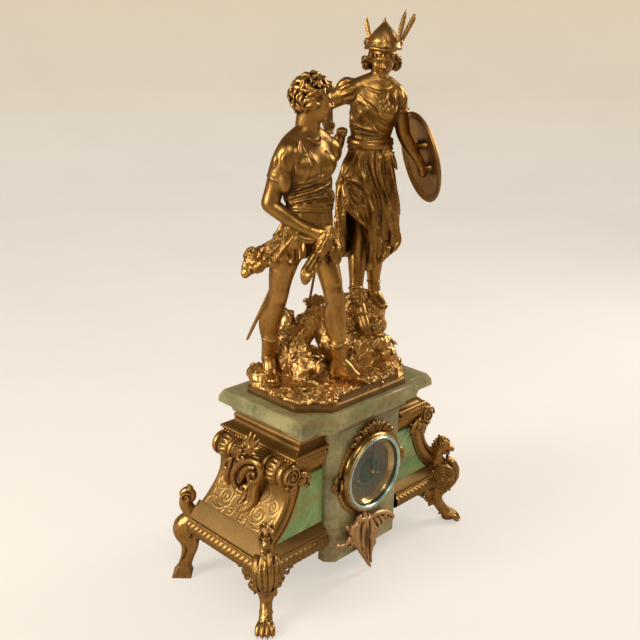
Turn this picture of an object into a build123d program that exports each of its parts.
"""Figural mantel clock: onyx case with gilt castings, a round movement and a pair of figures.

Units are millimetres. +Z is up, the dial faces -Y, and the origin lies on the floor
under the middle of the case.
"""
from build123d import *
from functools import cache
from math import atan2, cos, degrees, radians, sin, sqrt
import os

os.makedirs("parts", exist_ok=True)

# General clearances
cut_over = 2.0
run_gap = 0.3
bore_gap = 0.05

# Case: top slab
slab_half_width = 139.0
slab_half_depth = 86.0
slab_thickness = 33.0
slab_inset = 15.0
break_half_width = 85.5
break_depth = 13.0
slab_profile_shares = [(0, 1.0), (0.2, 0.88), (0.45, 0), (0.74, 0.08), (1.0, 0.42)]

# Case: centre block
case_height = 245.0
block_half_width = 76.0
block_front_y = -84.0
block_chamfer = 12.0
block_bottom_z = 38.0
front_thickness = 24.0
case_floor_z = 62.0
slab_wall = 10.0
back_half_depth = 72.0
dial_z = 165.0

# Wings
wing_half_depth = 70.0
wing_foot_z = 188.0
cornice_shares = [(0, 0.93, 0.94), (0.6, 1.04, 1.12), (0.67, 1.02, 1.1), (0.86, 0.91, 0.98), (1.0, 0.885, 0.97)]
cornice_half_width = 141.0
bolster_x = 146.0
bolster_z = 204.0
bolster_radius = 18.0
collar_radius = 16.0
bolster_half_length = 74.0
bolster_profile_shares = [(0, 0.72), (0.06, 1.0), (0.14, 1.0), (0.17, 0.8), (0.27, 0.86), (0.3, 0.96), (0.36, 0.96),
                          (0.5, 0.9)]
flare_top_x = 156.0
flare_neck_x = 151.0
flare_neck_z = 176.0
flare_belly_x = 161.0
flare_belly_z = 147.0
flare_setback = 14.0
flare_foot_z = 121.0
flare_wall = 4.0
panel_top_x = 118.0
panel_belly_x = 131.0
panel_foot_x = 166.0
panel_foot_z = 103.0
panel_thickness = 6.0
panel_recess = 4.0
eye_radius = 9.0
eye_relief = 5.0

# Wing base mouldings
plate_overhang = 2.0
plate_outer_z = 103.0
leg_past_torus = 8.5
end_torus_z = 87.0
torus_radius = 11.0
leg_past_rail = 20.5
rail_plate_z = 90.0
rail_torus_z = 76.0
rail_inner_y = 56.0
floor_thickness = 5.0

# Legs
leg_reach = 215.0
leg_span = 115.0
lion_height = 148.0
scroll_height = 141.0
griffin_shares = [
    # reach share, height share, half width share, half depth share
    (0.990, 0.000, 0.066, 0.080),
    (0.985, 0.060, 0.070, 0.082),
    (0.955, 0.130, 0.046, 0.050),
    (0.905, 0.210, 0.038, 0.040),
    (0.880, 0.300, 0.044, 0.046),
    (0.900, 0.420, 0.062, 0.078),
    (0.925, 0.560, 0.076, 0.098),
    (0.915, 0.680, 0.068, 0.082),
    (0.875, 0.790, 0.046, 0.052),
    (0.862, 0.860, 0.046, 0.056),
]
scroll_leg_shares = [
    (1.000, 0.000, 0.070, 0.078),
    (0.998, 0.060, 0.066, 0.070),
    (0.960, 0.160, 0.040, 0.036),
    (0.925, 0.300, 0.040, 0.040),
    (0.955, 0.450, 0.056, 0.070),
    (0.975, 0.560, 0.060, 0.076),
    (0.945, 0.700, 0.052, 0.060),
    (0.925, 0.800, 0.046, 0.050),
    (0.930, 0.930, 0.046, 0.042),
]
griffin_head_shares = [(0.885, 0.9), (0.945, 0.85)]
griffin_wing_shares = [(0.93, 0.34), (0.955, 0.57), (0.907, 0.757), (0.865, 0.92), (0.82, 0.865), (0.79, 0.716),
                       (0.785, 0.527), (0.837, 0.35)]
head_share = 0.096
snout_share = 0.055
wing_spread = 10.0
wing_fold = 5.0
apron_length = 34.0
apron_drop = 30.0
apron_thickness = 7.0
apron_hole_radius = 5.5
apron_outline_shares = [(0, 0), (1, 0), (1, 1), (0.75, 0.9), (0.35, 0.5)]
apron_hole_shares = (0.66, 0.4)

# Side mounts on the wing ends
mount_proud = 6.0
mask_radius = 13.0
mask_z = 222.0
c_scroll_radius = 13.0
c_scroll_bar = 4.0
c_scroll_z = 184.0
c_scroll_y = -8.0
tail_length = 50.0
joint_swell_share = 1.04

# Dial group
bezel_radius = 62.0
bezel_bore = 50.5
bezel_back_y = -88.3
bezel_depth = 10.7
glass_radius = 55.0
glass_thickness = 2.0
glass_inset = 3.0
surround_thickness = 4.0
surround_radius = 64.0
surround_bore = 46.5
crest_height = 14.0
crest_half_width = 24.0
hinge_offset = 64.6
hinge_y = -92.0
hinge_radius = 2.2
pin_radius = 1.1
hinge_length = 16.0
front_hole_radius = 51.0
dial_radius = 47.3
dial_thickness = 1.6
dial_foot_radius = 1.6
dial_foot_places = [65, 180, 295]
sight_outer = 49.0
sight_inner = 43.0
sight_depth = 6.4
sight_wall = 1.2
leaf_top_z = 100.0
leaf_tip_z = 6.0
leaf_half_width = 40.0
leaf_proud = 12.0
leaf_thickness = 7.0
leaf_outline_shares = [
    (0.10, 0.0), (0.42, 0.06), (0.34, 0.2), (1.0, 0.26), (0.8, 0.4), (0.5, 0.42), (0.56, 0.56), (0.3, 0.66),
    (0.26, 0.82), (0.08, 1.0),
]

# Hands
minute_length = 41.0
hour_length = 27.0
hand_width = 4.0
hand_thickness = 0.8
minute_hand_y = -91.2
hour_hand_y = -88.6
hand_nut_radius = 2.6

# Movement plates
plate_thickness = 2.0
front_plate_y = -74.0
plate_gap = 36.0
pillar_radius = 3.0
pillar_ring = 41.0
pillar_places = [45, 135, 270]
strap_width = 10.0
strap_thickness = 2.0
strap_ring = 49.6

# Wheels
tooth_module = 0.75
wheel_teeth = 40
barrel_teeth = 56
pin_wheel_teeth = 32
pinion_leaves = 8
addendum_share = 0.62
dedendum_share = 1.05
flank_share = 0.215
tip_share = 0.11
wheel_thickness = 1.6
pinion_thickness = 4.0
arbor_radius = 1.2
pivot_radius = 0.8
arbor_end_gap = 0.15
drum_radius = 17.0
drum_length = 18.0
square_half = 1.6
rim_share = 0.8
hub_share = 0.26
strike_great_level = 23.2
going_angle = -30.0
third_angle = 50.0
motion_module = 0.6
cannon_teeth = 12
minute_wheel_teeth = 36
minute_pinion_leaves = 10
motion_stack = 5.0
hour_wheel_teeth = 40
cannon_radius = 2.2
pipe_radius = 3.4
great_level = 3.0
drum_level = 5.0
centre_level = 25.6
third_level = 28.6
escape_level = 31.8
pin_wheel_level = 28.6
escape_radius = 9.5
escape_teeth = 20
escape_depth_share = 0.22
anchor_rise = 13.6
pallet_thickness = 1.6
pallet_x = 8.0
pallet_z = 6.4
pin_wheel_angle = 100.0

# Pendulum, hammer and bell
crutch_offset = 6.0
crutch_length = 40.0
rod_radius = 1.1
pendulum_length = 112.0
bob_radius = 15.0
bob_thickness = 7.0
pendulum_offset = 12.0
fork_half_gap = 1.5
cock_width = 12.0
spring_width = 4.0
spring_thickness = 0.4
spring_length = 7.0
bell_x = 28.0
bell_drop = 8.0
bell_radius = 18.0
bell_height = 13.0
bell_wall = 1.6
bell_offset = 48.0
stud_radius = 2.0
hammer_length = 34.0
hammer_hub_radius = 3.0
hammer_head_radius = 3.2
hammer_head_length = 8.0

# Back of the case
rear_hole_radius = 51.0
rear_ring_radius = 58.0
rear_ring_thickness = 3.0
door_radius = 52.0
door_thickness = 2.0
rear_hinge_offset = 55.0

# Figure base
base_height = 11.0
base_half_width = 116.0
base_half_depth = 83.0
base_corner_x = 40.0
base_corner_y = 48.0
base_cove = 3.0
ground_height = 9.0
bolt_radius = 3.0
nut_radius = 7.0
nut_height = 5.0
bolt_spacing = 100.0
plaque_half_width = 62.0
plaque_height = 9.0
plaque_thickness = 1.5

ground_inset = 6.0
rock_step = 47.0

# Figures
youth_height = 415.0
youth_x = -52.0
youth_y = -6.0
maiden_height = 440.0
maiden_x = 78.0
maiden_y = 2.0
maiden_turn = -40.0
pelt_turn = 50.0
shield_radius = 65.0
shield_thickness = 4.0
sword_length = 155.0
sword_width = 7.0
sword_thickness = 3.0
helmet_wing_thickness = 2.0

# Figure sections: height, place along X, place along Y, half width, half depth
youth_torso_shares = [
    (0.430, -0.005, 0.012, 0.118, 0.085),
    (0.500, -0.005, 0.010, 0.100, 0.070),
    (0.590, 0.002, 0.000, 0.080, 0.056),
    (0.690, -0.002, 0.012, 0.096, 0.060),
    (0.770, 0.000, 0.005, 0.105, 0.050),
    (0.812, 0.000, 0.004, 0.050, 0.036),
]
youth_head_shares = [
    (0.800, 0.000, 0.004, 0.030, 0.030),
    (0.840, 0.000, -0.004, 0.032, 0.032),
    (0.870, 0.002, -0.006, 0.052, 0.054),
    (0.920, 0.000, -0.005, 0.064, 0.064),
    (0.970, -0.002, -0.004, 0.054, 0.054),
    (1.000, -0.002, -0.004, 0.018, 0.018),
]
youth_pelt_shares = [
    (0.350, -0.135, 0.150, 0.026, 0.012),
    (0.430, -0.115, 0.135, 0.042, 0.018),
    (0.505, -0.055, 0.070, 0.044, 0.030),
]
maiden_torso_shares = [
    (0.200, 0.000, 0.006, 0.105, 0.080),
    (0.300, -0.004, 0.008, 0.118, 0.088),
    (0.500, -0.008, 0.008, 0.096, 0.072),
    (0.615, -0.004, 0.004, 0.066, 0.052),
    (0.710, 0.000, 0.000, 0.080, 0.058),
    (0.785, 0.002, 0.000, 0.074, 0.044),
    (0.812, 0.004, -0.002, 0.034, 0.028),
]
maiden_head_shares = [
    (0.800, 0.006, -0.006, 0.026, 0.026),
    (0.825, 0.008, -0.009, 0.028, 0.028),
    (0.850, 0.012, -0.014, 0.048, 0.048),
    (0.880, 0.013, -0.016, 0.058, 0.054),
    (0.915, 0.013, -0.016, 0.054, 0.050),
]
maiden_helmet_shares = [
    (0.905, 0.013, -0.016, 0.062, 0.058),
    (0.925, 0.013, -0.016, 0.054, 0.050),
    (0.970, 0.013, -0.016, 0.020, 0.020),
    (1.000, 0.013, -0.016, 0.004, 0.004),
]
helmet_wing_shares = [(0.045, 0.91), (0.062, 0.93), (0.10, 1.02), (0.07, 1.02), (0.04, 0.95)]
rock_shares = [
    (0.000, -0.052, 0.018, 0.130, 0.110),
    (0.070, -0.045, 0.009, 0.112, 0.095),
    (0.145, -0.041, 0.007, 0.092, 0.080),
    (0.218, -0.045, 0.018, 0.070, 0.055),
    (0.264, -0.052, 0.027, 0.050, 0.035),
]

# Figure limbs: place along X, place along Y, height, radius
youth_right_leg_shares = [(-0.045, 0.024, 0.470, 0.048), (-0.075, 0.063, 0.294, 0.034), (-0.063, 0.125, 0.050, 0.022),
                          (-0.110, 0.040, 0.018, 0.018)]
youth_left_leg_shares = [(0.039, 0.008, 0.470, 0.048), (0.053, -0.067, 0.301, 0.034), (0.077, -0.077, 0.050, 0.022),
                         (0.122, -0.145, 0.018, 0.018)]
youth_right_arm_shares = [(-0.111, 0.005, 0.770, 0.040), (-0.145, 0.051, 0.610, 0.029), (-0.048, -0.080, 0.528, 0.022),
                          (-0.031, -0.100, 0.513, 0.027)]
youth_left_arm_shares = [(0.106, 0.027, 0.770, 0.040), (0.222, 0.116, 0.737, 0.029), (0.214, 0.060, 0.800, 0.022)]
youth_horn_shares = [(-0.087, -0.014, 0.525, 0.006), (-0.070, -0.070, 0.500, 0.014), (-0.029, -0.100, 0.480, 0.006)]
youth_sword_shares = [(-0.031, 0.027, 0.484), (-0.128, 0.164, 0.125)]
maiden_front_leg_shares = [(-0.009, 0.009, 0.300, 0.050), (-0.027, 0.027, 0.180, 0.036), (-0.016, 0.030, 0.035, 0.020),
                           (-0.012, -0.030, 0.016, 0.016)]
maiden_back_leg_shares = [(0.020, 0.040, 0.300, 0.050), (0.030, 0.060, 0.180, 0.036), (0.030, 0.090, 0.035, 0.020)]
maiden_right_arm_shares = [(-0.058, 0.054, 0.770, 0.036), (-0.108, 0.103, 0.725, 0.028), (-0.175, 0.030, 0.672, 0.020)]
maiden_left_arm_shares = [(0.058, -0.058, 0.770, 0.036), (0.083, -0.056, 0.631, 0.026), (0.110, -0.110, 0.551, 0.019),
                          (0.117, -0.117, 0.520, 0.022)]
shield_place_shares = (0.125, -0.114, 0.580)
shield_lean_shares = (0.87, -0.48, 0.23)
stump_shares = [(0.020, 0.116, 0.000, 0.050), (0.030, 0.110, 0.140, 0.032), (0.070, 0.070, 0.262, 0.026)]
support_shares = [(0.070, 0.070, 0.262, 0.012), (0.020, 0.020, 0.480, 0.010)]

# Levels and places that follow from the sizes above
leg_corner_x = leg_span / 2 + leg_reach / sqrt(2)
leg_corner_y = leg_reach / sqrt(2) - leg_span / 2
end_torus_x = leg_corner_x - leg_past_torus
plate_outer_x = end_torus_x + plate_overhang
flare_foot_x = end_torus_x - flare_setback
rail_outer_y = leg_corner_y - leg_past_rail
slab_top_z = case_height + slab_thickness
ground_z = slab_top_z + base_height + ground_height
back_y = back_half_depth
inner_front_y = block_front_y + front_thickness
plate_back_y = front_plate_y + plate_thickness
rear_plate_y = plate_back_y + plate_gap
wheel_radius = tooth_module * wheel_teeth / 2
pinion_radius = tooth_module * pinion_leaves / 2
barrel_wheel_radius = tooth_module * barrel_teeth / 2
pin_wheel_radius = tooth_module * pin_wheel_teeth / 2
wheel_distance = wheel_radius + pinion_radius
barrel_distance = barrel_wheel_radius + pinion_radius
plate_radius = strap_ring - strap_thickness - bore_gap
motion_distance = motion_module * (cannon_teeth + minute_wheel_teeth) / 2
hour_module = 2 * motion_distance / (minute_pinion_leaves + hour_wheel_teeth)
going_x = barrel_distance * cos(radians(going_angle))
going_z = dial_z + barrel_distance * sin(radians(going_angle))
strike_x = -going_x
third_x = wheel_distance * cos(radians(third_angle))
third_z = dial_z + wheel_distance * sin(radians(third_angle))
escape_z = dial_z + 2 * wheel_distance * sin(radians(third_angle))
anchor_z = escape_z + anchor_rise
pin_wheel_x = strike_x + barrel_distance * cos(radians(pin_wheel_angle))
pin_wheel_z = going_z + barrel_distance * sin(radians(pin_wheel_angle))
bell_z = dial_z - bell_drop
hammer_x = bell_x - bell_radius - hammer_head_radius - 2 * run_gap
hammer_z = bell_z + hammer_length
rear_face_y = rear_plate_y + plate_thickness
arbor_places = [(third_x, third_z), (0, escape_z), (pin_wheel_x, pin_wheel_z)]
barrel_places = [(going_x, going_z), (strike_x, going_z)]
hinge_third = hinge_length / 3
knuckle_low = dial_z - hinge_third / 2 + run_gap
knuckle_high = dial_z + hinge_third / 2 - run_gap
lug_ranges = [(dial_z - hinge_length / 2, dial_z - hinge_third / 2),
              (dial_z + hinge_third / 2, dial_z + hinge_length / 2)]
ring_back_y = back_y + rear_ring_thickness
door_front_y = ring_back_y + run_gap
door_hinge_y = door_front_y + hinge_radius
youth_place = (youth_x, youth_y, ground_z)
maiden_place = (maiden_x, maiden_y, ground_z + rock_step)


def save(piece, label):
    """Name a finished piece and write it to its own file."""
    piece.part.label = label
    export_step(piece.part, f"parts/{label}.step")


def facing(y, x=0.0, z=0.0):
    """Sketch plane square to Y at depth y, with sketch x along X and sketch y along Z."""
    return Plane(origin=(x, y, z), x_dir=(1, 0, 0), z_dir=(0, -1, 0))


def slab_outline(inset):
    """Plan of the top slab with its break-front, drawn in by an inset."""
    side = slab_half_width - inset
    deep = slab_half_depth - inset
    front = slab_half_depth + break_depth - inset
    turn = break_half_width - inset / 2
    return [(-side, deep), (side, deep), (side, -deep), (turn + break_depth, -deep), (turn, -front),
            (-turn, -front), (-turn - break_depth, -deep), (-side, -deep)]


def make_top_slab():
    with BuildPart() as top_slab:
        for height_share, inset_share in slab_profile_shares:
            level = case_height + slab_thickness * height_share
            with BuildSketch(Plane.XY.offset(level)):
                with BuildLine():
                    Polyline(*slab_outline(slab_inset * inset_share), close=True)
                make_face()
        loft(ruled=True)
        with Locations((-bolt_spacing / 2, 0, slab_top_z), (bolt_spacing / 2, 0, slab_top_z)):
            Hole(bolt_radius + run_gap, depth=slab_thickness)
    save(top_slab, "top_slab")


def make_front_slab():
    with BuildPart() as front_slab:
        with BuildSketch(Plane.XY.offset(block_bottom_z)):
            with BuildLine():
                Polyline(
                    (-block_half_width, inner_front_y),
                    (-block_half_width, block_front_y + block_chamfer),
                    (-block_half_width + block_chamfer, block_front_y),
                    (block_half_width - block_chamfer, block_front_y),
                    (block_half_width, block_front_y + block_chamfer),
                    (block_half_width, inner_front_y),
                    close=True,
                )
            make_face()
        extrude(amount=case_height - block_bottom_z)
        with BuildSketch(facing(inner_front_y + cut_over, z=dial_z)):
            Circle(front_hole_radius)
        extrude(amount=front_thickness + 2 * cut_over, mode=Mode.SUBTRACT)
    save(front_slab, "front_slab")


def make_inner_slabs():
    depth = back_y - slab_wall - inner_front_y
    middle = (back_y - slab_wall + inner_front_y) / 2
    side_x = block_half_width - slab_wall / 2
    wall_height = case_height - case_floor_z - slab_wall
    with BuildPart() as inner_slabs:
        with Locations((0, middle, case_floor_z + slab_wall / 2)):
            Box(2 * block_half_width, depth, slab_wall)
        with Locations(*[(sign * side_x, middle, case_height - wall_height / 2) for sign in (-1, 1)]):
            Box(slab_wall, depth, wall_height)
    save(inner_slabs, "inner_slabs")


def make_back_slab():
    with BuildPart() as back_slab:
        with BuildSketch(facing(back_y, z=(case_height + case_floor_z) / 2)):
            Rectangle(2 * block_half_width, case_height - case_floor_z)
        extrude(amount=slab_wall)
        with BuildSketch(facing(back_y + cut_over, z=dial_z)):
            Circle(rear_hole_radius)
        extrude(amount=slab_wall + 2 * cut_over, mode=Mode.SUBTRACT)
    save(back_slab, "back_slab")


@cache
def bolster_body(side):
    """Turned roll along the end of a wing, with a collar and a knob at each end."""
    with BuildPart() as roll:
        with BuildSketch(Plane(origin=(side * bolster_x, 0, bolster_z), x_dir=(0, 1, 0), z_dir=(1, 0, 0))):
            with BuildLine():
                front = [(-bolster_half_length + 2 * bolster_half_length * along, bolster_radius * wide)
                         for along, wide in bolster_profile_shares]
                back = [(-along, wide) for along, wide in reversed(front[:-1])]
                Polyline((-bolster_half_length, 0), *front, *back, (bolster_half_length, 0), close=True)
            make_face()
        revolve(axis=Axis((side * bolster_x, 0, bolster_z), (0, 1, 0)))
    return roll


def make_bolsters():
    with BuildPart() as bolsters:
        for side in (-1, 1):
            add(bolster_body(side).part)
    save(bolsters, "bolsters")


@cache
def cornice_body(side):
    """Cove and sloping frieze round the top of a wing, mitred at its outer corners."""
    height = case_height - wing_foot_z
    with BuildPart() as cornice:
        for height_share, width_share, depth_share in cornice_shares:
            outer = cornice_half_width * width_share
            with BuildSketch(Plane.XY.offset(wing_foot_z + height * height_share)):
                with Locations((side * (outer + block_half_width) / 2, 0)):
                    Rectangle(outer - block_half_width, 2 * wing_half_depth * depth_share)
        loft(ruled=True)
        add(bolster_body(side).part, mode=Mode.SUBTRACT)
    return cornice


def make_cornices():
    save(cornice_body(-1), "wing_cornice_left")
    save(cornice_body(1), "wing_cornice_right")


def flare_edge(side):
    """Concave outer edge of the wing end, from under the roll down to the base."""
    neck = (side * flare_neck_x, flare_neck_z)
    belly = (side * flare_belly_x, flare_belly_z)
    foot = (side * flare_foot_x, flare_foot_z)
    return neck, belly, foot


def panel_edge(side):
    """Concave edge between the casting and the onyx panel."""
    top = (side * panel_top_x, wing_foot_z)
    belly = (side * panel_belly_x, flare_belly_z)
    foot = (side * panel_foot_x, panel_foot_z)
    return top, belly, foot


def flare_face(side, inset):
    """Section of the wing end casting, drawn in from its outer edge by an inset."""
    neck, belly, foot = [(x - side * inset, z - inset / 2) for x, z in flare_edge(side)]
    top, inner_belly, panel_foot = [(x + side * inset / 2, z) for x, z in panel_edge(side)]
    crown = (side * (flare_top_x - inset), wing_foot_z - inset)
    with BuildSketch(Plane.XZ, mode=Mode.PRIVATE) as section:
        with BuildLine():
            ThreePointArc(neck, belly, foot)
            Line(foot, (foot[0], panel_foot_z + inset))
            Line((foot[0], panel_foot_z + inset), (panel_foot[0], panel_foot_z + inset))
            ThreePointArc((panel_foot[0], panel_foot_z + inset), inner_belly, (top[0], wing_foot_z - inset))
            Line((top[0], wing_foot_z - inset), crown)
            Line(crown, neck)
        make_face()
    return section.sketch


@cache
def flare_body(side):
    """Hollow casting of the wing end: swept shell with solid front and back borders."""
    hollow = wing_half_depth - flare_wall
    with BuildPart() as flare:
        with BuildSketch(Plane.XZ):
            add(flare_face(side, 0.0))
        extrude(amount=wing_half_depth, both=True)
        with BuildSketch(Plane.XZ):
            add(flare_face(side, flare_wall))
        extrude(amount=hollow, both=True, mode=Mode.SUBTRACT)
        with BuildSketch(facing(-wing_half_depth + cut_over, x=side * (panel_top_x + eye_radius / 2),
                                z=wing_foot_z - eye_radius)):
            Circle(eye_radius)
        extrude(amount=cut_over + eye_relief)
        add(bolster_body(side).part, mode=Mode.SUBTRACT)
        for face in (-1, 1):
            add(leg_body(side, face).part, mode=Mode.SUBTRACT)
    return flare


def make_flares():
    save(flare_body(-1), "wing_flare_left")
    save(flare_body(1), "wing_flare_right")


@cache
def base_body(side):
    """Base of a wing: sloping plate over a torus on the end, rails on front and back, and a floor."""
    with BuildPart() as base:
        end_bottom = end_torus_z - torus_radius
        with BuildSketch(Plane.XZ):
            with BuildLine():
                Polyline(
                    (side * flare_foot_x, flare_foot_z),
                    (side * plate_outer_x, plate_outer_z),
                    (side * end_torus_x, end_torus_z),
                    (side * end_torus_x, end_bottom),
                    (side * (flare_foot_x - torus_radius), end_bottom),
                    (side * (flare_foot_x - torus_radius), panel_foot_z),
                    (side * flare_foot_x, panel_foot_z),
                    close=True,
                )
            make_face()
            with Locations((side * end_torus_x, end_torus_z)):
                Circle(torus_radius)
        extrude(amount=rail_outer_y - torus_radius / 2, both=True)
        rail_plane = Plane(origin=(side * block_half_width, 0, 0), x_dir=(0, 1, 0), z_dir=(1, 0, 0))
        with BuildSketch(rail_plane):
            for face in (-1, 1):
                with BuildLine():
                    Polyline(
                        (face * (wing_half_depth - panel_recess - panel_thickness), panel_foot_z),
                        (face * (wing_half_depth - panel_recess), panel_foot_z),
                        (face * rail_outer_y, rail_plate_z),
                        (face * rail_outer_y, rail_torus_z - torus_radius),
                        (face * rail_inner_y, rail_torus_z - torus_radius),
                        (face * rail_inner_y, rail_plate_z),
                        close=True,
                    )
                make_face()
            with Locations((-rail_outer_y, rail_torus_z), (rail_outer_y, rail_torus_z)):
                Circle(torus_radius)
        extrude(amount=side * (flare_foot_x + torus_radius - block_half_width))
        floor_width = flare_foot_x - block_half_width
        with Locations((side * (block_half_width + floor_width / 2), 0, rail_torus_z)):
            Box(floor_width, 2 * rail_outer_y, floor_thickness)
        with Locations((side * block_half_width, 0, 0)):
            Box(2 * cut_over, 4 * rail_outer_y, 4 * case_height,
                align=(Align.MAX if side > 0 else Align.MIN, Align.CENTER, Align.CENTER), mode=Mode.SUBTRACT)
        for face in (-1, 1):
            add(leg_body(side, face).part, mode=Mode.SUBTRACT)
    return base


def make_bases():
    save(base_body(-1), "wing_base_left")
    save(base_body(1), "wing_base_right")


def wing_panel(side, face):
    """Shaped plate that closes the front or back of a wing between block, base and casting."""
    top, belly, foot = panel_edge(side)
    outer_y = face * (wing_half_depth - panel_recess)
    start_y = outer_y if face > 0 else outer_y + panel_thickness
    with BuildPart() as panel:
        with BuildSketch(facing(start_y)):
            with BuildLine():
                ThreePointArc(top, belly, foot)
                Polyline(foot, (side * block_half_width, panel_foot_z), (side * block_half_width, wing_foot_z), top)
            make_face()
        extrude(amount=panel_thickness)
    return panel


def make_wing_panels():
    with BuildPart() as wing_panels:
        for side in (-1, 1):
            add(wing_panel(side, -1).part)
    save(wing_panels, "wing_panels")
    with BuildPart() as back_panels:
        for side in (-1, 1):
            add(wing_panel(side, 1).part)
    save(back_panels, "wing_back_panels")


def leg_place(side, face, reach):
    """Plan point on the diagonal of one leg at a reach from the middle of the case."""
    half = leg_span / 2
    along = reach / sqrt(2)
    return side * (half + along), face * (along - half)


@cache
def leg_body(side, face):
    """One cast leg set on the diagonal: a winged beast in front, an S-scroll behind."""
    shares, height = (griffin_shares, lion_height) if face < 0 else (scroll_leg_shares, scroll_height)
    turn = degrees(atan2(face, side))
    with BuildPart() as leg:
        for reach_share, height_share, width_share, depth_share in shares:
            x, y = leg_place(side, face, leg_reach * reach_share)
            with BuildSketch(Plane.XY.offset(height * height_share)):
                with Locations(Location((x, y, 0), turn)):
                    Ellipse(height * depth_share, height * width_share)
        loft()
        if face < 0:
            skull, muzzle = [(*leg_place(side, face, leg_reach * reach), height * up)
                             for reach, up in griffin_head_shares]
            jointed_rod([skull, muzzle], [height * head_share, height * snout_share])
            for offset in (-wing_spread, wing_spread):
                x, y = leg_place(side, face, 0)
                lean = Plane(origin=(x, y, 0), x_dir=(side, face, 0), z_dir=(face, -side, 0))
                with BuildSketch(lean.offset(offset - wing_fold / 2)):
                    with BuildLine():
                        Polyline(*[(leg_reach * reach, height * up) for reach, up in griffin_wing_shares], close=True)
                    make_face()
                extrude(amount=wing_fold)
    return leg


def make_legs():
    for side, side_name in ((-1, "left"), (1, "right")):
        for face, face_name in ((-1, "front"), (1, "rear")):
            leg = leg_body(side, face)
            save(leg, f"leg_{face_name}_{side_name}")


def make_aprons():
    """Pierced scroll brackets under the mouldings on both sides of each front leg."""
    corner_x = end_torus_x - torus_radius
    corner_y = rail_outer_y
    with BuildPart() as aprons:
        for side in (-1, 1):
            with BuildSketch(facing(-corner_y + apron_thickness, x=side * (corner_x - apron_length),
                                    z=rail_torus_z - torus_radius)):
                apron_outline(side, apron_drop)
            extrude(amount=apron_thickness)
            end_plane = Plane(origin=(side * end_torus_x, -corner_y + apron_length, end_torus_z - torus_radius),
                              x_dir=(0, 1, 0), z_dir=(1, 0, 0))
            with BuildSketch(end_plane):
                apron_outline(-1, apron_drop)
            extrude(amount=-side * apron_thickness)
            add(leg_body(side, -1).part, mode=Mode.SUBTRACT)
            add(base_body(side).part, mode=Mode.SUBTRACT)
    save(aprons, "apron_scrolls")


def apron_outline(side, drop):
    """Bracket outline hanging from its top edge, deep beside the leg, with a round piercing."""
    with BuildLine() as outline:
        Polyline(*[(side * apron_length * along, -drop * down) for along, down in apron_outline_shares], close=True)
    make_face(outline.edges())
    along, down = apron_hole_shares
    with Locations((side * apron_length * along, -drop * down)):
        Circle(apron_hole_radius, mode=Mode.SUBTRACT)


def make_side_mounts():
    """Mask, C-scroll and curled tail applied to the middle of each wing end."""
    with BuildPart() as mounts:
        for side in (-1, 1):
            scroll_x = bolster_x + bolster_radius + mount_proud - c_scroll_bar
            outward = degrees(atan2(0, side))
            with Locations(Location((side * (bolster_x + bolster_radius), c_scroll_y, mask_z), outward)):
                Sphere(mask_radius)
            with Locations(Location((side * scroll_x, c_scroll_y, c_scroll_z), (0, 90, 0))):
                Torus(c_scroll_radius, c_scroll_bar)
            tail = [
                (side * scroll_x, c_scroll_y, c_scroll_z - c_scroll_radius),
                (side * (flare_belly_x + c_scroll_bar), c_scroll_y + tail_length * 0.1, flare_belly_z),
                (side * (flare_foot_x - c_scroll_bar), c_scroll_y + tail_length * 0.3,
                 flare_foot_z + 2 * c_scroll_bar),
            ]
            jointed_rod(tail, [c_scroll_bar, c_scroll_bar * 1.2, c_scroll_bar * 1.4])
            with Locations((side * (scroll_x - bolster_radius / 2), c_scroll_y, c_scroll_z + c_scroll_radius * 0.9)):
                Box(bolster_radius, c_scroll_bar, c_scroll_bar)
            add(bolster_body(side).part, mode=Mode.SUBTRACT)
            add(cornice_body(side).part, mode=Mode.SUBTRACT)
            add(flare_body(side).part, mode=Mode.SUBTRACT)
    save(mounts, "side_mounts")


def jointed_rod(points, radii):
    """Chain of round tapers with a ball at each joint, added to the part being built."""
    for place in range(len(points) - 1):
        direction = Vector(points[place + 1]) - Vector(points[place])
        with BuildSketch(Plane(origin=points[place], z_dir=direction)) as start:
            Circle(radii[place])
        with BuildSketch(Plane(origin=points[place + 1], z_dir=direction)) as end:
            Circle(radii[place + 1])
        loft([start.sketch, end.sketch])
    for point, radius in zip(points, radii):
        with Locations(point):
            Sphere(radius * joint_swell_share)


def ring_profile(points):
    """Turn a radius and depth profile about the dial axis."""
    with BuildSketch(Plane.XY.offset(dial_z)) as profile:
        with BuildLine():
            Polyline(*points, close=True)
        make_face()
    revolve(profile.sketch, axis=Axis((0, 0, dial_z), (0, 1, 0)))


def hinge_barrel(x, y, low, high):
    """Round knuckle of a vertical hinge between two heights."""
    with BuildSketch(Plane.XY.offset(low)) as section:
        with Locations((x, y)):
            Circle(hinge_radius)
    extrude(section.sketch, amount=high - low)


def hinge_bore(x, y, low, high):
    """Hole for the pin through a hinge knuckle."""
    with BuildSketch(Plane.XY.offset(low - cut_over)) as section:
        with Locations((x, y)):
            Circle(pin_radius + bore_gap)
    extrude(section.sketch, amount=high - low + 2 * cut_over, mode=Mode.SUBTRACT)


def hinge_box(x_from, x_to, y_from, y_to, low, high):
    """Square web or lug of a hinge between the given limits."""
    with Locations(((x_from + x_to) / 2, (y_from + y_to) / 2, (low + high) / 2)):
        Box(abs(x_to - x_from), abs(y_to - y_from), high - low)


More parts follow.
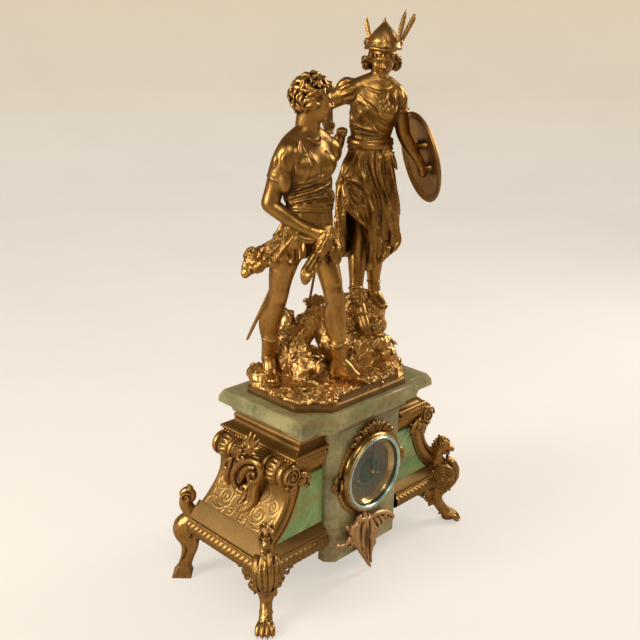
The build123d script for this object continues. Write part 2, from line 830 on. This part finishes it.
def make_surround():
    """Ornamental ring behind the bezel, with a crest, side rosettes and the fixed hinge lugs."""
    front_y = block_front_y - surround_thickness
    with BuildPart() as surround:
        with BuildSketch(facing(block_front_y, z=dial_z)):
            Circle(surround_radius)
            with Locations((0, surround_radius)):
                Ellipse(crest_half_width, crest_height)
            with Locations((-surround_radius, 0), (surround_radius, 0)):
                Circle(hinge_length / 2)
            with Locations((0, -surround_radius)):
                Ellipse(crest_half_width, crest_height / 2)
            Circle(surround_bore, mode=Mode.SUBTRACT)
        extrude(amount=surround_thickness)
        for low, high in lug_ranges:
            hinge_barrel(-hinge_offset, hinge_y, low, high)
            hinge_box(-hinge_offset - hinge_radius, -hinge_offset + hinge_radius - run_gap, hinge_y, front_y,
                      low, high)
            hinge_bore(-hinge_offset, hinge_y, low, high)
    save(surround, "dial_surround")


@cache
def glass_disc():
    with BuildPart() as glass:
        with BuildSketch(facing(bezel_back_y - bezel_depth + glass_inset + glass_thickness, z=dial_z)):
            Circle(glass_radius)
        extrude(amount=glass_thickness)
        fillet(glass.faces().sort_by(Axis.Y)[0].edges(), glass_thickness / 3)
    return glass


def make_bezel():
    """Hinged brass bezel ring with a rolled outer edge and its glass."""
    front_y = bezel_back_y - bezel_depth
    shoulder = bezel_depth / 5
    with BuildPart() as bezel:
        ring_profile([
            (bezel_bore, bezel_back_y),
            (bezel_radius - shoulder, bezel_back_y),
            (bezel_radius, bezel_back_y - shoulder),
            (bezel_radius, bezel_back_y - 2 * shoulder),
            (bezel_radius - 2 * shoulder, front_y + shoulder / 2),
            (bezel_radius - 3 * shoulder, front_y),
            (bezel_bore + shoulder, front_y),
            (bezel_bore, front_y + shoulder),
        ])
        with BuildSketch(Plane.XY.offset(dial_z - hinge_length / 2 - run_gap)):
            with Locations((-hinge_offset, hinge_y)):
                Circle(hinge_radius + 2 * run_gap)
        extrude(amount=hinge_length + 2 * run_gap, mode=Mode.SUBTRACT)
        hinge_barrel(-hinge_offset, hinge_y, knuckle_low, knuckle_high)
        hinge_box(-hinge_offset, -bezel_radius + hinge_radius, hinge_y - hinge_radius / 2, hinge_y + hinge_radius / 2,
                  knuckle_low, knuckle_high)
        hinge_bore(-hinge_offset, hinge_y, knuckle_low, knuckle_high)
        add(glass_disc().part, mode=Mode.SUBTRACT)
    save(bezel, "bezel")
    save(glass_disc(), "bezel_glass")


def make_hinge_pins():
    with BuildPart() as pins:
        for x, y in ((-hinge_offset, hinge_y), (-rear_hinge_offset, door_hinge_y)):
            with BuildSketch(Plane.XY.offset(dial_z - hinge_length / 2)):
                with Locations((x, y)):
                    Circle(pin_radius)
            extrude(amount=hinge_length)
    save(pins, "hinge_pins")


def make_dial():
    """Dial plate with winding holes, a centre hole and feet that reach the movement."""
    with BuildPart() as dial:
        with BuildSketch(facing(block_front_y + dial_thickness, z=dial_z)):
            Circle(dial_radius)
            Circle(pipe_radius + 2 * run_gap, mode=Mode.SUBTRACT)
            with Locations((strike_x, going_z - dial_z), (going_x, going_z - dial_z)):
                Circle(2 * square_half, mode=Mode.SUBTRACT)
        extrude(amount=dial_thickness)
        with BuildSketch(facing(front_plate_y, z=dial_z)):
            for angle in dial_foot_places:
                with Locations((pillar_ring * cos(radians(angle)), pillar_ring * sin(radians(angle)))):
                    Circle(dial_foot_radius)
        extrude(amount=front_plate_y - block_front_y - dial_thickness)
    save(dial, "dial_plate")
    front_y = block_front_y - surround_thickness
    throat = surround_bore - run_gap
    with BuildPart() as sight:
        ring_profile([
            (sight_inner, block_front_y),
            (sight_inner + sight_wall, block_front_y),
            (throat, front_y),
            (sight_outer, block_front_y - sight_depth),
            (sight_outer - sight_wall, block_front_y - sight_depth),
            (throat - 2 * sight_wall, front_y),
        ])
    save(sight, "sight_ring")


def make_drop_leaf():
    """Leaf that hangs from the surround down past the foot of the block."""
    height = leaf_top_z - leaf_tip_z
    half = [(leaf_half_width * wide, leaf_top_z - height * down) for wide, down in leaf_outline_shares]
    other = [(-x, z) for x, z in reversed(half)]
    back = block_front_y - leaf_proud + leaf_thickness
    with BuildPart() as leaf:
        with BuildSketch(facing(back)):
            with BuildLine():
                Polyline(*half, *other, close=True)
            make_face()
        extrude(amount=leaf_thickness)
        with BuildSketch(facing(block_front_y, z=leaf_top_z - height / 3)):
            Circle(leaf_thickness)
        extrude(amount=leaf_proud - leaf_thickness / 2)
    save(leaf, "drop_leaf")


def gear_points(module, teeth, phase, x, z):
    """Outline of a toothed wheel about a centre, with one tooth pointing along the phase angle."""
    pitch = 360 / teeth
    root = module * (teeth / 2 - dedendum_share)
    tip = module * (teeth / 2 + addendum_share)
    points = []
    for tooth in range(teeth):
        middle = phase + tooth * pitch
        for radius, offset in ((root, -flank_share), (tip, -tip_share), (tip, tip_share), (root, flank_share)):
            angle = radians(middle + offset * pitch)
            points.append((x + radius * cos(angle), z + radius * sin(angle)))
    return points


def toothed(module, teeth, phase, x, z, y, thickness):
    """Add a toothed disc whose front face lies at depth y."""
    with BuildSketch(facing(y + thickness)) as outline:
        with BuildLine():
            Polyline(*gear_points(module, teeth, phase, x, z), close=True)
        make_face()
    extrude(outline.sketch, amount=thickness)


def crossings(x, z, y, radius, thickness):
    """Cut the openings between the spokes of a wheel."""
    spoke = radius * hub_share / 2
    with BuildSketch(facing(y + thickness + cut_over, x=x, z=z)) as openings:
        Circle(radius * rim_share)
        Circle(radius * hub_share, mode=Mode.SUBTRACT)
        Rectangle(2 * radius, spoke, mode=Mode.SUBTRACT)
        Rectangle(spoke, 2 * radius, mode=Mode.SUBTRACT)
    extrude(openings.sketch, amount=thickness + 2 * cut_over, mode=Mode.SUBTRACT)


def shaft(x, z, radius, front, rear):
    """Add a round bar along Y between two depths."""
    with BuildSketch(facing(rear, x=x, z=z)) as section:
        Circle(radius)
    extrude(section.sketch, amount=rear - front)


def pivoted_arbor(x, z):
    """Add an arbor between the plates with a fine pivot in each of them."""
    shaft(x, z, arbor_radius, plate_back_y + arbor_end_gap, rear_plate_y - arbor_end_gap)
    shaft(x, z, pivot_radius, front_plate_y, rear_plate_y + plate_thickness)


def meshing_phase(angle, teeth, space):
    """Phase that puts a tooth, or a space, of a wheel at an angle."""
    return angle + (180 / teeth if space else 0)


def make_plates():
    """Front plate with its pillars, and rear plate with the cock, bell stud and hammer post."""
    with BuildPart() as front_plate:
        with BuildSketch(facing(plate_back_y, z=dial_z)):
            Circle(plate_radius)
        extrude(amount=plate_thickness)
        for angle in pillar_places:
            x, z = pillar_ring * cos(radians(angle)), dial_z + pillar_ring * sin(radians(angle))
            shaft(x, z, pillar_radius, plate_back_y, rear_plate_y)
        shaft(0, dial_z + motion_distance, pivot_radius, front_plate_y - motion_stack, front_plate_y)
        plate_bores(plate_back_y, arbor_places + [(0, anchor_z)], pivot_radius)
        plate_bores(plate_back_y, barrel_places + [(0, dial_z)], cannon_radius)
    save(front_plate, "front_plate")
    with BuildPart() as rear_plate:
        with BuildSketch(facing(rear_face_y, z=dial_z)):
            Circle(plate_radius)
        extrude(amount=plate_thickness)
        plate_bores(rear_face_y, arbor_places + barrel_places + [(0, dial_z)], pivot_radius)
        plate_bores(rear_face_y, [(0, anchor_z)], arbor_radius)
        cock_reach = pendulum_offset + cock_width / 4
        with Locations((0, rear_face_y + cock_reach / 2, anchor_z + spring_length / 2 + run_gap)):
            Box(cock_width, cock_reach, cock_width / 2, align=(Align.CENTER, Align.CENTER, Align.MIN))
        shaft(bell_x, bell_z, stud_radius, rear_face_y, rear_face_y + bell_offset + bell_height)
        shaft(hammer_x, hammer_z, stud_radius, rear_face_y, rear_face_y + bell_offset + hammer_head_length)
    save(rear_plate, "rear_plate")


def plate_bores(rear, places, radius):
    """Pivot holes through a plate whose rear face lies at a depth."""
    with BuildSketch(facing(rear + cut_over)) as holes:
        for x, z in places:
            with Locations((x, z)):
                Circle(radius + bore_gap)
    extrude(holes.sketch, amount=plate_thickness + 2 * cut_over, mode=Mode.SUBTRACT)


def make_centre():
    """Centre arbor with its pinion, the centre wheel and the cannon pinion that carries the minute hand."""
    with BuildPart() as centre:
        toothed(tooth_module, pinion_leaves, meshing_phase(going_angle, pinion_leaves, True), 0, dial_z,
                plate_back_y + great_level - (pinion_thickness - wheel_thickness) / 2, pinion_thickness)
        wheel_y = plate_back_y + centre_level
        toothed(tooth_module, wheel_teeth, meshing_phase(third_angle, wheel_teeth, False), 0, dial_z, wheel_y,
                wheel_thickness)
        crossings(0, dial_z, wheel_y, wheel_radius, wheel_thickness)
        shaft(0, dial_z, arbor_radius, plate_back_y, rear_plate_y - arbor_end_gap)
        shaft(0, dial_z, pivot_radius, plate_back_y, rear_plate_y + plate_thickness)
        toothed(motion_module, cannon_teeth, meshing_phase(90, cannon_teeth, True), 0, dial_z,
                front_plate_y - run_gap - wheel_thickness, wheel_thickness)
        shaft(0, dial_z, cannon_radius, minute_hand_y, plate_back_y + arbor_end_gap)
        shaft(0, dial_z, hand_nut_radius, minute_hand_y - 2 * hand_thickness, minute_hand_y)
    save(centre, "centre_arbor")


def make_motion_work():
    minute_z = dial_z + motion_distance
    wheel_front = front_plate_y - run_gap - wheel_thickness
    pinion_front = wheel_front - motion_stack / 2
    with BuildPart() as minute_wheel:
        toothed(motion_module, minute_wheel_teeth, meshing_phase(-90, minute_wheel_teeth, False), 0, minute_z,
                wheel_front, wheel_thickness)
        toothed(hour_module, minute_pinion_leaves, meshing_phase(-90, minute_pinion_leaves, True), 0, minute_z,
                pinion_front, motion_stack / 2)
        with BuildSketch(facing(front_plate_y, z=minute_z)):
            Circle(pivot_radius + bore_gap)
        extrude(amount=2 * motion_stack, mode=Mode.SUBTRACT)
    save(minute_wheel, "minute_wheel")
    hour_front = wheel_front - run_gap - wheel_thickness
    with BuildPart() as hour_wheel:
        toothed(hour_module, hour_wheel_teeth, meshing_phase(90, hour_wheel_teeth, False), 0, dial_z,
                hour_front, wheel_thickness)
        shaft(0, dial_z, pipe_radius, hour_hand_y, hour_front + wheel_thickness)
        with BuildSketch(facing(0, z=dial_z)):
            Circle(cannon_radius + bore_gap)
        extrude(amount=-2 * minute_hand_y, mode=Mode.SUBTRACT)
    save(hour_wheel, "hour_wheel")


def make_hand(name, length, y, bore):
    """Tapered hand pointing to twelve, with a ring near its tip and an eye at its centre."""
    with BuildPart() as hand:
        with BuildSketch(facing(y + hand_thickness, z=dial_z)):
            Circle(hand_width)
            with BuildLine():
                Polyline(
                    (-hand_width / 4, 0),
                    (-hand_width / 3, length * 0.6),
                    (0, length),
                    (hand_width / 3, length * 0.6),
                    (hand_width / 4, 0),
                    (0, -length / 4),
                    close=True,
                )
            make_face()
            with Locations((0, length * 0.6)):
                Circle(hand_width / 1.6)
                Circle(hand_width / 3.2, mode=Mode.SUBTRACT)
            Circle(bore, mode=Mode.SUBTRACT)
        extrude(amount=hand_thickness)
    save(hand, name)


def make_barrel(name, x, angle, great_level_here):
    """Spring barrel with its great wheel and the winding square that reaches the dial."""
    with BuildPart() as barrel:
        wheel_y = plate_back_y + great_level_here
        toothed(tooth_module, barrel_teeth, meshing_phase(angle, barrel_teeth, False), x, going_z, wheel_y,
                wheel_thickness)
        shaft(x, going_z, drum_radius, plate_back_y + drum_level, plate_back_y + drum_level + drum_length)
        shaft(x, going_z, 2 * arbor_radius, plate_back_y + arbor_end_gap, rear_plate_y - arbor_end_gap)
        shaft(x, going_z, pivot_radius, rear_plate_y - arbor_end_gap, rear_plate_y + plate_thickness)
        shaft(x, going_z, cannon_radius, front_plate_y - arbor_end_gap, plate_back_y + arbor_end_gap)
        with BuildSketch(facing(front_plate_y, x=x, z=going_z)):
            Rectangle(2 * square_half, 2 * square_half)
        extrude(amount=front_plate_y - block_front_y)
    save(barrel, name)


def make_train():
    with BuildPart() as third:
        pinion_y = plate_back_y + centre_level - (pinion_thickness - wheel_thickness) / 2
        toothed(tooth_module, pinion_leaves, meshing_phase(third_angle + 180, pinion_leaves, True), third_x, third_z,
                pinion_y + pinion_thickness / 8, pinion_thickness * 0.75)
        wheel_y = plate_back_y + third_level
        toothed(tooth_module, wheel_teeth, meshing_phase(180 - third_angle, wheel_teeth, False), third_x, third_z,
                wheel_y, wheel_thickness)
        crossings(third_x, third_z, wheel_y, wheel_radius, wheel_thickness)
        pivoted_arbor(third_x, third_z)
    save(third, "third_wheel")
    with BuildPart() as escape:
        toothed(tooth_module, pinion_leaves, meshing_phase(-third_angle, pinion_leaves, True), 0, escape_z,
                plate_back_y + third_level - pinion_thickness / 8, pinion_thickness * 0.6)
        wheel_y = plate_back_y + escape_level
        with BuildSketch(facing(wheel_y + wheel_thickness)):
            with BuildLine():
                root = escape_radius * (1 - escape_depth_share)
                points = []
                for tooth in range(escape_teeth):
                    start = radians(tooth * 360 / escape_teeth)
                    lean = radians(90 / escape_teeth)
                    points.append((escape_radius * cos(start), escape_z + escape_radius * sin(start)))
                    points.append((root * cos(start + lean), escape_z + root * sin(start + lean)))
                    points.append((root * cos(start + 3 * lean), escape_z + root * sin(start + 3 * lean)))
                Polyline(*points, close=True)
            make_face()
        extrude(amount=wheel_thickness)
        pivoted_arbor(0, escape_z)
    save(escape, "escape_wheel")
    with BuildPart() as pin_wheel:
        toothed(tooth_module, pinion_leaves, meshing_phase(pin_wheel_angle + 180, pinion_leaves, True), pin_wheel_x,
                pin_wheel_z, plate_back_y + strike_great_level - wheel_thickness / 2, 2 * wheel_thickness)
        wheel_y = plate_back_y + pin_wheel_level
        toothed(tooth_module, pin_wheel_teeth, 0, pin_wheel_x, pin_wheel_z, wheel_y, wheel_thickness)
        crossings(pin_wheel_x, pin_wheel_z, wheel_y, pin_wheel_radius, wheel_thickness)
        pivoted_arbor(pin_wheel_x, pin_wheel_z)
    save(pin_wheel, "pin_wheel")


def make_pendulum():
    """Anchor with its crutch, and the pendulum that hangs from the cock behind the movement."""
    crutch_y = rear_face_y + crutch_offset
    rod_y = rear_face_y + pendulum_offset
    fork_z = anchor_z - crutch_length
    fork_side = rod_radius + run_gap + fork_half_gap / 2
    with BuildPart() as anchor:
        shaft(0, anchor_z, arbor_radius, plate_back_y + arbor_end_gap, crutch_y)
        shaft(0, anchor_z, pivot_radius, front_plate_y, plate_back_y + arbor_end_gap)
        with BuildSketch(facing(plate_back_y + escape_level + wheel_thickness, z=anchor_z)):
            with BuildLine():
                Polyline(
                    (0, 2 * arbor_radius),
                    (pallet_x + pallet_thickness / 2, -pallet_z / 2),
                    (pallet_x, -pallet_z),
                    (pallet_x - pallet_thickness / 2, -pallet_z / 2),
                    (0, -arbor_radius),
                    (-pallet_x + pallet_thickness / 2, -pallet_z / 2),
                    (-pallet_x, -pallet_z),
                    (-pallet_x - pallet_thickness / 2, -pallet_z / 2),
                    close=True,
                )
            make_face()
        extrude(amount=wheel_thickness)
        with Locations((0, crutch_y - arbor_radius, (anchor_z + fork_z) / 2)):
            Box(2 * arbor_radius, 2 * arbor_radius, crutch_length)
        with Locations((0, crutch_y, fork_z)):
            Box(2 * fork_side + fork_half_gap, 2 * arbor_radius, 2 * arbor_radius)
        with Locations((-fork_side, (crutch_y + rod_y) / 2, fork_z), (fork_side, (crutch_y + rod_y) / 2, fork_z)):
            Box(fork_half_gap, rod_y - crutch_y + 2 * fork_half_gap, 2 * arbor_radius)
    save(anchor, "anchor")
    bob_z = anchor_z - pendulum_length
    with BuildPart() as pendulum:
        with Locations((0, rod_y, anchor_z)):
            Box(spring_width, spring_thickness, spring_length)
        with BuildSketch(Plane.XY.offset(bob_z)):
            with Locations((0, rod_y)):
                Circle(rod_radius)
        extrude(amount=pendulum_length - spring_length / 2)
        shaft(0, bob_z, bob_radius, rod_y - bob_thickness / 2, rod_y + bob_thickness / 2)
        chamfer(pendulum.edges().filter_by(GeomType.CIRCLE).sort_by(SortBy.RADIUS)[-2:], bob_thickness / 4)
    save(pendulum, "pendulum")


def make_bell():
    """Bell on its stud, and the hammer that hangs beside its rim."""
    rim_y = rear_face_y + bell_offset
    with BuildPart() as bell:
        with BuildSketch(Plane(origin=(bell_x, 0, bell_z), x_dir=(1, 0, 0), z_dir=(0, 0, 1))):
            with BuildLine():
                Polyline(
                    (bell_radius, rim_y),
                    (bell_radius * 0.85, rim_y + bell_height * 0.65),
                    (bell_radius * 0.4, rim_y + bell_height),
                    (stud_radius + bore_gap, rim_y + bell_height),
                    (stud_radius + bore_gap, rim_y + bell_height - bell_wall),
                    (bell_radius * 0.4, rim_y + bell_height - bell_wall),
                    (bell_radius * 0.85 - bell_wall, rim_y + bell_height * 0.65 - bell_wall / 2),
                    (bell_radius - bell_wall, rim_y),
                    close=True,
                )
            make_face()
        revolve(axis=Axis((bell_x, 0, bell_z), (0, 1, 0)))
    save(bell, "bell")
    with BuildPart() as hammer:
        shaft(hammer_x, hammer_z, hammer_hub_radius + stud_radius, rim_y - hammer_hub_radius,
              rim_y + hammer_hub_radius)
        with Locations((hammer_x, rim_y, (hammer_z + bell_z) / 2)):
            Box(stud_radius, stud_radius, hammer_length)
        with BuildSketch(Plane.YZ.offset(hammer_x)):
            with Locations((rim_y, bell_z)):
                Circle(hammer_head_radius)
        extrude(amount=hammer_head_radius, both=True)
        with BuildSketch(facing(rim_y + 2 * hammer_hub_radius, x=hammer_x, z=hammer_z)):
            Circle(stud_radius + bore_gap)
        extrude(amount=4 * hammer_hub_radius, mode=Mode.SUBTRACT)
    save(hammer, "hammer")


def make_back():
    """Rear ring, hinged round door and the two long straps that hold the movement in the case."""
    with BuildPart() as ring:
        with BuildSketch(facing(ring_back_y, z=dial_z)):
            Circle(rear_ring_radius)
            Circle(strap_ring - strap_thickness, mode=Mode.SUBTRACT)
        extrude(amount=rear_ring_thickness)
        for low, high in lug_ranges:
            hinge_barrel(-rear_hinge_offset, door_hinge_y, low, high)
            hinge_box(-rear_hinge_offset - hinge_radius, -rear_hinge_offset + hinge_radius - run_gap,
                      back_y + rear_ring_thickness / 2, door_hinge_y, low, high)
            hinge_bore(-rear_hinge_offset, door_hinge_y, low, high)
    save(ring, "rear_ring")
    with BuildPart() as door:
        with BuildSketch(facing(door_front_y + door_thickness, z=dial_z)):
            Circle(door_radius)
        extrude(amount=door_thickness)
        with BuildSketch(facing(door_front_y + door_thickness + hand_width, x=door_radius * 0.8, z=dial_z)):
            Circle(hand_width)
        extrude(amount=hand_width)
        with BuildSketch(Plane.XY.offset(dial_z - hinge_length / 2 - run_gap)):
            with Locations((-rear_hinge_offset, door_hinge_y)):
                Circle(hinge_radius + 2 * run_gap)
        extrude(amount=hinge_length + 2 * run_gap, mode=Mode.SUBTRACT)
        hinge_barrel(-rear_hinge_offset, door_hinge_y, knuckle_low, knuckle_high)
        hinge_box(-rear_hinge_offset, -door_radius + hinge_radius, door_front_y, door_front_y + door_thickness,
                  knuckle_low, knuckle_high)
        hinge_bore(-rear_hinge_offset, door_hinge_y, knuckle_low, knuckle_high)
    save(door, "rear_door")
    with BuildPart() as straps:
        for side in (-1, 1):
            with Locations((side * (strap_ring - strap_thickness / 2), (block_front_y + back_y) / 2, dial_z)):
                Box(strap_thickness, back_y - block_front_y, strap_width)
    save(straps, "case_straps")


def base_outline(inset):
    """Plan of the figure base with clipped corners, drawn in by an inset."""
    wide = base_half_width - inset
    deep = base_half_depth - inset
    return [(-wide, base_corner_y - inset), (-wide, inset - base_corner_y), (base_corner_x - wide, -deep),
            (wide - base_corner_x, -deep), (wide, inset - base_corner_y), (wide, base_corner_y - inset),
            (wide - base_corner_x, deep), (base_corner_x - wide, deep)]


def tier(levels):
    """Add a stack of base outlines given as heights and insets."""
    sections = []
    for level, inset in levels:
        with BuildSketch(Plane.XY.offset(level)) as section:
            with BuildLine():
                Polyline(*base_outline(inset), close=True)
            make_face()
        sections.append(section.sketch)
    loft(sections, ruled=True)


def rounded_stack(origin, height, turn, shares):
    """Add a loft through ellipses given as shares of a figure's height."""
    sections = []
    for up, along, deep, half_width, half_depth in shares:
        with BuildSketch(Plane.XY.offset(origin[2] + height * up)) as section:
            with Locations(Location((origin[0] + height * along, origin[1] + height * deep, 0), turn)):
                Ellipse(height * half_width, height * half_depth)
        sections.append(section.sketch)
    loft(sections)


def limb(origin, height, shares):
    """Add a jointed limb whose points and radii are shares of a figure's height."""
    points = [(origin[0] + height * along, origin[1] + height * deep, origin[2] + height * up)
              for along, deep, up, wide in shares]
    jointed_rod(points, [height * share[-1] for share in shares])


@cache
def youth_body():
    with BuildPart() as body:
        rounded_stack(youth_place, youth_height, 0, youth_torso_shares)
    return body


@cache
def youth_legs():
    with BuildPart() as legs:
        limb(youth_place, youth_height, youth_right_leg_shares)
        limb(youth_place, youth_height, youth_left_leg_shares)
        floor_cut(ground_z)
        add(youth_body().part, mode=Mode.SUBTRACT)
    return legs


def floor_cut(level):
    """Trim the piece being built flat at a level."""
    with Locations((0, 0, level)):
        Box(4 * base_half_width, 4 * base_half_depth, slab_thickness,
            align=(Align.CENTER, Align.CENTER, Align.MAX), mode=Mode.SUBTRACT)


@cache
def youth_head():
    with BuildPart() as head:
        rounded_stack(youth_place, youth_height, 0, youth_head_shares)
        add(youth_body().part, mode=Mode.SUBTRACT)
    return head


@cache
def youth_arms():
    with BuildPart() as arms:
        limb(youth_place, youth_height, youth_right_arm_shares)
        limb(youth_place, youth_height, youth_left_arm_shares)
        add(youth_body().part, mode=Mode.SUBTRACT)
        add(maiden_body().part, mode=Mode.SUBTRACT)
    return arms


@cache
def youth_pelt():
    with BuildPart() as pelt:
        rounded_stack(youth_place, youth_height, pelt_turn, youth_pelt_shares)
        limb(youth_place, youth_height, youth_horn_shares)
        for piece in (youth_body(), youth_legs(), youth_arms()):
            add(piece.part, mode=Mode.SUBTRACT)
    return pelt


@cache
def youth_sword():
    grip, tip = [(youth_x + youth_height * along, youth_y + youth_height * deep, ground_z + youth_height * up)
                 for along, deep, up in youth_sword_shares]
    blade_plane = Plane(origin=grip, x_dir=(1, 1, 0), z_dir=Vector(tip) - Vector(grip))
    with BuildPart() as sword:
        with BuildSketch(blade_plane):
            Rectangle(sword_width, sword_thickness)
        extrude(amount=sword_length)
        with BuildSketch(blade_plane.offset(sword_thickness)):
            Rectangle(3 * sword_width, 2 * sword_thickness)
        extrude(amount=sword_thickness)
        for piece in (youth_body(), youth_legs(), youth_arms(), youth_pelt()):
            add(piece.part, mode=Mode.SUBTRACT)
    return sword


@cache
def maiden_body():
    with BuildPart() as body:
        rounded_stack(maiden_place, maiden_height, maiden_turn, maiden_torso_shares)
    return body


@cache
def maiden_legs():
    with BuildPart() as legs:
        limb(maiden_place, maiden_height, maiden_front_leg_shares)
        limb(maiden_place, maiden_height, maiden_back_leg_shares)
        add(maiden_body().part, mode=Mode.SUBTRACT)
    return legs


@cache
def maiden_head():
    with BuildPart() as head:
        rounded_stack(maiden_place, maiden_height, maiden_turn, maiden_head_shares)
        add(maiden_body().part, mode=Mode.SUBTRACT)
    return head


@cache
def maiden_helmet():
    with BuildPart() as helmet:
        rounded_stack(maiden_place, maiden_height, maiden_turn, maiden_helmet_shares)
        for sign in (-1, 1):
            across = Vector(1, 0, 0).rotate(Axis.Z, maiden_turn)
            up, along, deep, wide, thick = maiden_head_shares[-1]
            root = (maiden_x + maiden_height * along, maiden_y + maiden_height * deep, maiden_place[2])
            wing_plane = Plane(origin=root, x_dir=across, z_dir=across.cross(Vector(0, 0, 1)))
            with BuildSketch(wing_plane):
                with BuildLine():
                    Polyline(*[(sign * maiden_height * out, maiden_height * up) for out, up in helmet_wing_shares],
                             close=True)
                make_face()
            extrude(amount=helmet_wing_thickness / 2, both=True)
        add(maiden_head().part, mode=Mode.SUBTRACT)
    return helmet


@cache
def maiden_arms():
    with BuildPart() as arms:
        limb(maiden_place, maiden_height, maiden_right_arm_shares)
        limb(maiden_place, maiden_height, maiden_left_arm_shares)
        for piece in (maiden_body(), youth_body(), youth_arms()):
            add(piece.part, mode=Mode.SUBTRACT)
    return arms


@cache
def maiden_shield():
    along, deep, up = shield_place_shares
    centre = (maiden_x + maiden_height * along, maiden_y + maiden_height * deep, maiden_place[2] + maiden_height * up)
    with BuildPart() as shield:
        with BuildSketch(Plane(origin=centre, z_dir=shield_lean_shares)):
            Circle(shield_radius)
        extrude(amount=shield_thickness)
        for piece in (maiden_body(), maiden_arms(), maiden_legs()):
            add(piece.part, mode=Mode.SUBTRACT)
    return shield


@cache
def rock_base():
    """Stepped plinth with clipped corners, rough ground, a rock, a stump and a support rod."""
    tier_z = slab_top_z + base_height
    with BuildPart() as rock:
        tier([(slab_top_z, 0.0), (tier_z - base_cove, 0.0), (tier_z, base_cove)])
        tier([(tier_z, base_cove), (ground_z, ground_inset)])
        rounded_stack((maiden_x, maiden_y, tier_z), maiden_height, maiden_turn, rock_shares)
        limb((youth_x, youth_y, tier_z), youth_height, stump_shares)
        limb((youth_x, youth_y, tier_z), youth_height, support_shares)
        for piece in (youth_legs(), youth_body(), maiden_legs(), maiden_body(), youth_pelt(), maiden_shield(),
                      youth_sword()):
            add(piece.part, mode=Mode.SUBTRACT)
        floor_cut(slab_top_z)
        with Locations((-bolt_spacing / 2, 0, slab_top_z), (bolt_spacing / 2, 0, slab_top_z)):
            Cylinder(bolt_radius + bore_gap, base_height, align=(Align.CENTER, Align.CENTER, Align.MIN),
                     mode=Mode.SUBTRACT)
    return rock


def make_fixings():
    """Plain plaque on the figure base, and the studs and nuts that clamp the base to the top slab."""
    with BuildPart() as plaque:
        with Locations((0, -base_half_depth + base_cove, ground_z - ground_height / 2)):
            Box(2 * plaque_half_width, plaque_thickness, plaque_height, align=(Align.CENTER, Align.MAX, Align.CENTER))
        add(rock_base().part, mode=Mode.SUBTRACT)
    save(plaque, "plaque")
    with BuildPart() as bolts:
        for side in (-1, 1):
            with BuildSketch(Plane.XY.offset(case_height - nut_height)):
                with Locations((side * bolt_spacing / 2, 0)):
                    RegularPolygon(nut_radius, 6)
            extrude(amount=nut_height)
            with BuildSketch(Plane.XY.offset(case_height - 2 * nut_height)):
                with Locations((side * bolt_spacing / 2, 0)):
                    Circle(bolt_radius)
            extrude(amount=2 * nut_height + slab_thickness + base_height - bore_gap)
    save(bolts, "fixing_bolts")


make_top_slab()
make_front_slab()
make_inner_slabs()
make_back_slab()
make_bolsters()
make_cornices()
make_flares()
make_bases()
make_wing_panels()
make_side_mounts()
make_legs()
make_aprons()
make_surround()
make_drop_leaf()
make_bezel()
make_hinge_pins()
make_dial()
make_plates()
make_centre()
make_motion_work()
make_hand("minute_hand", minute_length, minute_hand_y, cannon_radius)
make_hand("hour_hand", hour_length, hour_hand_y, pipe_radius)
make_barrel("going_barrel", going_x, going_angle + 180, great_level)
make_barrel("strike_barrel", strike_x, pin_wheel_angle, strike_great_level)
make_train()
make_pendulum()
make_bell()
make_back()
make_fixings()
save(rock_base(), "rock_base")
save(youth_body(), "youth_body")
save(youth_legs(), "youth_legs")
save(youth_head(), "youth_head")
save(youth_arms(), "youth_arms")
save(youth_pelt(), "youth_pelt")
save(youth_sword(), "youth_sword")
save(maiden_body(), "maiden_body")
save(maiden_legs(), "maiden_legs")
save(maiden_head(), "maiden_head")
save(maiden_helmet(), "maiden_helmet")
save(maiden_arms(), "maiden_arms")
save(maiden_shield(), "maiden_shield")
